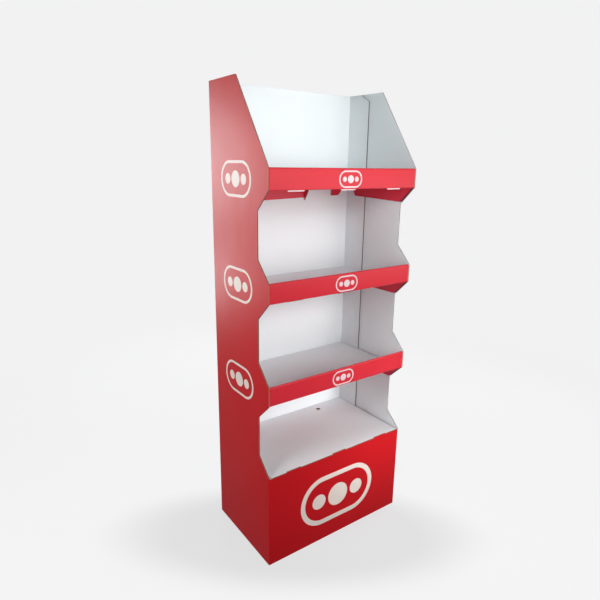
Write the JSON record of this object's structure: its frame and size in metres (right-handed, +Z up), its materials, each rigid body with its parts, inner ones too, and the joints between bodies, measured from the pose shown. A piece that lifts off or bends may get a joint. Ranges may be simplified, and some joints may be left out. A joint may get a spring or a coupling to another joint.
{
  "type": "cardboard display stand",
  "caption": "Tall free-standing corrugated display stand with open bays, sloped side fronts, printed shelf lips and a closed base.",
  "frame": {"origin": "middle of the footprint, on the floor", "axes": "+Z up; the open front with the lips faces -Y; +X is the right side seen from the front"},
  "size_m": [0.6, 0.357, 1.595],
  "materials": {
    "printed_board": "corrugated board, red print under a light varnish on the outside, white liner inside",
    "white_board": "corrugated board with white liners, uncoated",
    "plain_board": "plain brown corrugated board"
  },
  "bodies": {
    "root": {"outer_wrap": "printed_board", "back_panel": "white_board", "base_shelf": "white_board", "base_brace": "plain_board", "lower_shelf": "printed_board", "middle_shelf": "printed_board", "top_shelf": "printed_board"}
  },
  "joints": []
}
